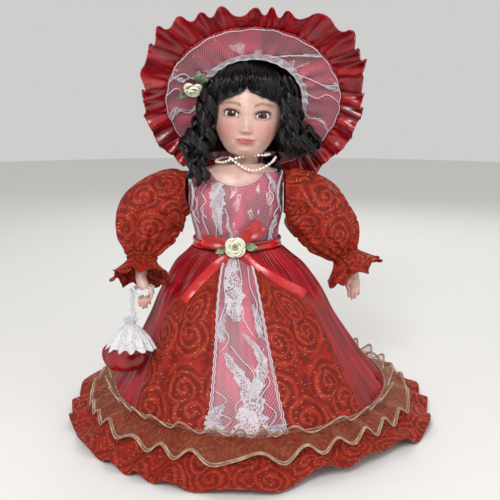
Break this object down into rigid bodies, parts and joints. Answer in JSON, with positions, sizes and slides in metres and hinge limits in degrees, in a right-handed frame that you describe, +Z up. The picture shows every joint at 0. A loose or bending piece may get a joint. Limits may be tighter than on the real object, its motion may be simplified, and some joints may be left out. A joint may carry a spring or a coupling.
{
  "type": "porcelain doll",
  "caption": "Porcelain doll in a long brocade and satin gown, wide lace-lined hat and pearl necklace, with a lace-topped bag on the wrist, held on a round wire stand.",
  "frame": {"origin": "on the table, under the middle of the skirt's hem", "axes": "+Z up; the doll looks along -Y; its left hand is at +X"},
  "size_m": [0.37, 0.37, 0.3924],
  "materials": {
    "bisque": "unglazed painted porcelain, softly satin",
    "brocade": "rust-red jacquard with tone-on-tone scrolls and gold flecks",
    "satin": "crimson polyester satin",
    "lace_front": "rose satin under white net lace",
    "white_cotton": "plain white cotton lawn",
    "body_cloth": "stuffed muslin",
    "organza": "sheer shot organza with a gold-corded edge",
    "black_hair": "black synthetic hair, glossy",
    "white_lace": "white nylon lace",
    "cream_rose": "cream satin ribbon rose",
    "green_leaf": "green ribbon leaves",
    "pearl": "pearlised beads",
    "glass_eye": "solid brown glass eyes",
    "shoe": "black imitation leather",
    "steel_wire": "bright drawn wire",
    "stand_paint": "white enamel",
    "card": "pressed card"
  },
  "bodies": {
    "stand": {"stand_base": "stand_paint", "stand_tube": "steel_wire"},
    "clip": {"clip_wire": "steel_wire"},
    "torso": {"cloth_torso": "body_cloth", "pantaloon_seat": "white_cotton", "shoulder_plate": "bisque", "neck_washer": "steel_wire", "bodice": "lace_front", "sash_band": "satin", "sash_bow": "satin", "waist_rose": "cream_rose", "waist_leaves": "green_leaf", "back_snap_1": "steel_wire", "back_snap_2": "steel_wire", "pearl_necklace": "pearl", "front_panel": "lace_front", "brocade_gore_left": "brocade", "brocade_gore_right": "brocade", "satin_gore_left": "satin", "satin_gore_right": "satin", "brocade_back_left": "brocade", "brocade_back_right": "brocade", "petticoat": "white_cotton", "organza_ruffle": "organza", "hem_flounce": "brocade", "shoulder_curls_left": "black_hair", "shoulder_curls_right": "black_hair"},
    "head": {"porcelain_head": "bisque", "glass_eye_left": "glass_eye", "glass_eye_right": "glass_eye", "head_pate": "card", "wig": "black_hair", "wig_fringe": "black_hair", "neck_bolt": "steel_wire"},
    "hat": {"hat_crown": "satin", "hat_brim": "lace_front", "hat_ruffle": "satin", "hat_wire": "steel_wire", "hat_rose": "cream_rose", "hat_leaves": "green_leaf"},
    "arm_left": {"cloth_upper_arm_left": "body_cloth", "porcelain_forearm_left": "bisque", "puff_sleeve_left": "brocade", "sleeve_cuff_left": "brocade"},
    "arm_right": {"cloth_upper_arm_right": "body_cloth", "porcelain_forearm_right": "bisque", "puff_sleeve_right": "brocade", "sleeve_cuff_right": "brocade", "wrist_loop": "white_lace"},
    "strap": {"bag_strap": "white_lace"},
    "bag": {"bag_pouch": "satin", "bag_lace": "white_lace"},
    "leg_left": {"cloth_thigh_left": "body_cloth", "porcelain_leg_left": "bisque", "pantaloon_leg_left": "white_cotton", "shoe_left": "shoe"},
    "leg_right": {"cloth_thigh_right": "body_cloth", "porcelain_leg_right": "bisque", "pantaloon_leg_right": "white_cotton", "shoe_right": "shoe"}
  },
  "joints": [
    {"name": "stand_height", "type": "slide", "parent": "stand", "child": "clip", "axis": [0, 0, 1], "range_m": [-0.04, 0.004]},
    {"name": "doll_lift", "type": "slide", "parent": "stand", "child": "torso", "axis": [0, 0, 1], "range_m": [0, 0.25]},
    {"name": "neck_turn", "type": "hinge", "parent": "torso", "child": "head", "pos_m": [-0.008, 0.002, 0.253], "axis": [0, 0, 1], "range_deg": [-18, 18]},
    {"name": "hat_lift", "type": "slide", "parent": "head", "child": "hat", "axis": [0, 0.788, 0.6157], "range_m": [0, 0.06]},
    {"name": "shoulder_left", "type": "hinge", "parent": "torso", "child": "arm_left", "pos_m": [0.0345, 0, 0.226], "axis": [-1, 0, 0], "range_deg": [-15, 80]},
    {"name": "shoulder_right", "type": "hinge", "parent": "torso", "child": "arm_right", "pos_m": [-0.0625, 0, 0.226], "axis": [-1, 0, 0], "range_deg": [0, 60]},
    {"name": "strap_plumb", "type": "hinge", "parent": "arm_right", "child": "strap", "pos_m": [-0.1134, -0.046, 0.137], "axis": [-1, 0, 0], "range_deg": [-60, 0]},
    {"name": "bag_swing", "type": "hinge", "parent": "strap", "child": "bag", "pos_m": [-0.1105, -0.0604, 0.1115], "axis": [-1, 0, 0], "range_deg": [-5, 25]},
    {"name": "hip_left", "type": "hinge", "parent": "torso", "child": "leg_left", "pos_m": [0.006, 0, 0.133], "axis": [-1, 0, 0], "range_deg": [0, 30]},
    {"name": "hip_right", "type": "hinge", "parent": "torso", "child": "leg_right", "pos_m": [-0.026, 0, 0.133], "axis": [-1, 0, 0], "range_deg": [0, 30]}
  ],
  "couplings": [
    {"joint": "strap_plumb", "follows": "shoulder_right", "ratio": -1}
  ]
}
